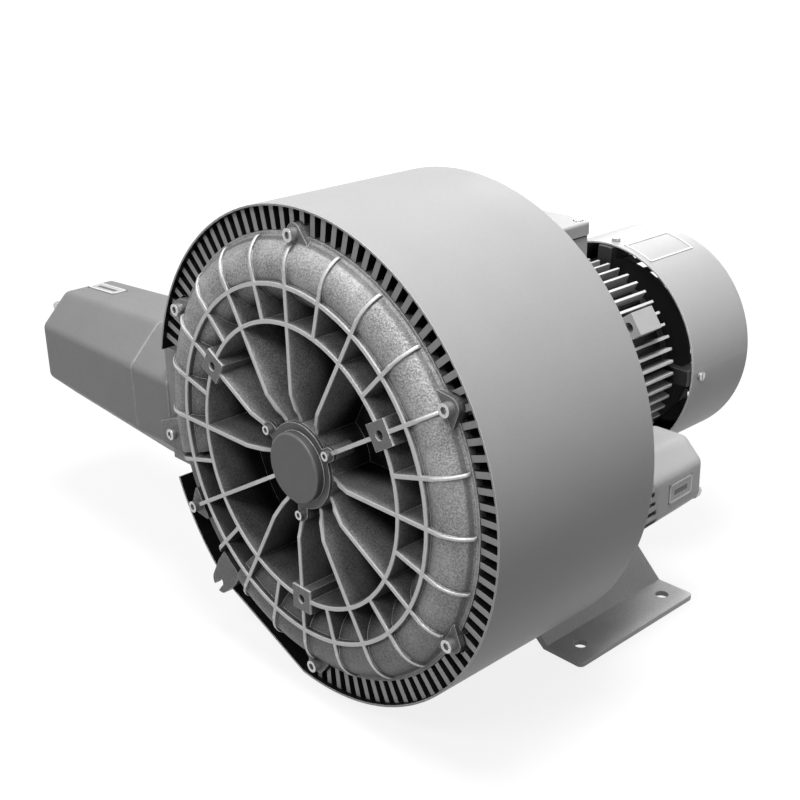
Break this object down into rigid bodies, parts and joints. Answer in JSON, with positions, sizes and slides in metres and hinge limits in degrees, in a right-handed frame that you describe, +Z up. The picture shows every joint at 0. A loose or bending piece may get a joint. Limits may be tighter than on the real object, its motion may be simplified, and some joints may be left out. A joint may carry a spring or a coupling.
{
  "type": "side channel blower",
  "caption": "Two-stage side channel blower: ribbed cast front cover in a round sheet shroud, finned motor behind, one silencer out to the left and one beside the motor, on bent plate feet.",
  "frame": {"origin": "centre of the four foot holes, on the floor plane", "axes": "+X to the right seen from the cover side, +Y from the cover back to the motor, +Z up"},
  "size_m": [0.833, 0.58, 0.51],
  "materials": {
    "acoustic_foam": "open-cell foam",
    "bearing_steel": "ground",
    "black_plastic": "moulded",
    "cast_cap": "cast, painted grey",
    "cast_cover": "sand-cast, blasted",
    "cast_housing": "sand-cast, blasted",
    "copper_wire": "varnished wire",
    "core_steel": "stacked sheet",
    "fan_plastic": "moulded",
    "foot_paint": "satin grey",
    "impeller_alloy": "machined casting",
    "motor_paint": "satin grey",
    "painted_sheet": "fine texture, satin grey",
    "seal_rubber": "matte",
    "shaft_steel": "turned",
    "silencer_paint": "satin grey",
    "zinc_screw": "zinc plated"
  },
  "bodies": {
    "root": {"bearing_cap": "cast_cap", "bearing_cap_screws": "zinc_screw", "cable_gland": "black_plastic", "cover_screws": "zinc_screw", "cowl_screws": "zinc_screw", "divider_screws": "zinc_screw", "drive_bearing_outer": "bearing_steel", "end_shield_bolts": "zinc_screw", "fan_bearing_outer": "bearing_steel", "fan_cowl": "motor_paint", "flange_bolts": "zinc_screw", "foot_bolts": "zinc_screw", "front_bearing_outer": "bearing_steel", "front_cover": "cast_cover", "left_foot": "foot_paint", "motor_flange": "motor_paint", "motor_frame": "motor_paint", "pump_housing": "cast_housing", "rear_end_shield": "motor_paint", "rear_silencer_body": "silencer_paint", "rear_silencer_screws": "zinc_screw", "right_foot": "foot_paint", "shaft_seal": "seal_rubber", "shroud": "painted_sheet", "shroud_screws": "zinc_screw", "side_silencer_body": "silencer_paint", "side_silencer_collar": "silencer_paint", "side_silencer_liner": "acoustic_foam", "side_silencer_screws": "zinc_screw", "side_silencer_tube": "shaft_steel", "stage_divider": "cast_housing", "stator_core": "core_steel", "stator_windings": "copper_wire", "terminal_block": "black_plastic", "terminal_box": "motor_paint", "terminal_gasket": "seal_rubber", "terminal_lid": "motor_paint", "terminal_lid_screws": "zinc_screw"},
    "rotor": {"cooling_fan": "fan_plastic", "drive_bearing_inner": "bearing_steel", "fan_bearing_inner": "bearing_steel", "fan_clip": "shaft_steel", "front_bearing_inner": "bearing_steel", "impeller_front": "impeller_alloy", "impeller_keys": "shaft_steel", "impeller_rear": "impeller_alloy", "rotor_core": "core_steel", "shaft": "shaft_steel", "shaft_nut": "shaft_steel", "spacer_sleeve": "shaft_steel"}
  },
  "joints": [
    {"name": "rotor_spin", "type": "hinge", "parent": "root", "child": "rotor", "pos_m": [0, 0, 0.26], "axis": [0, 1, 0], "continuous": true}
  ]
}
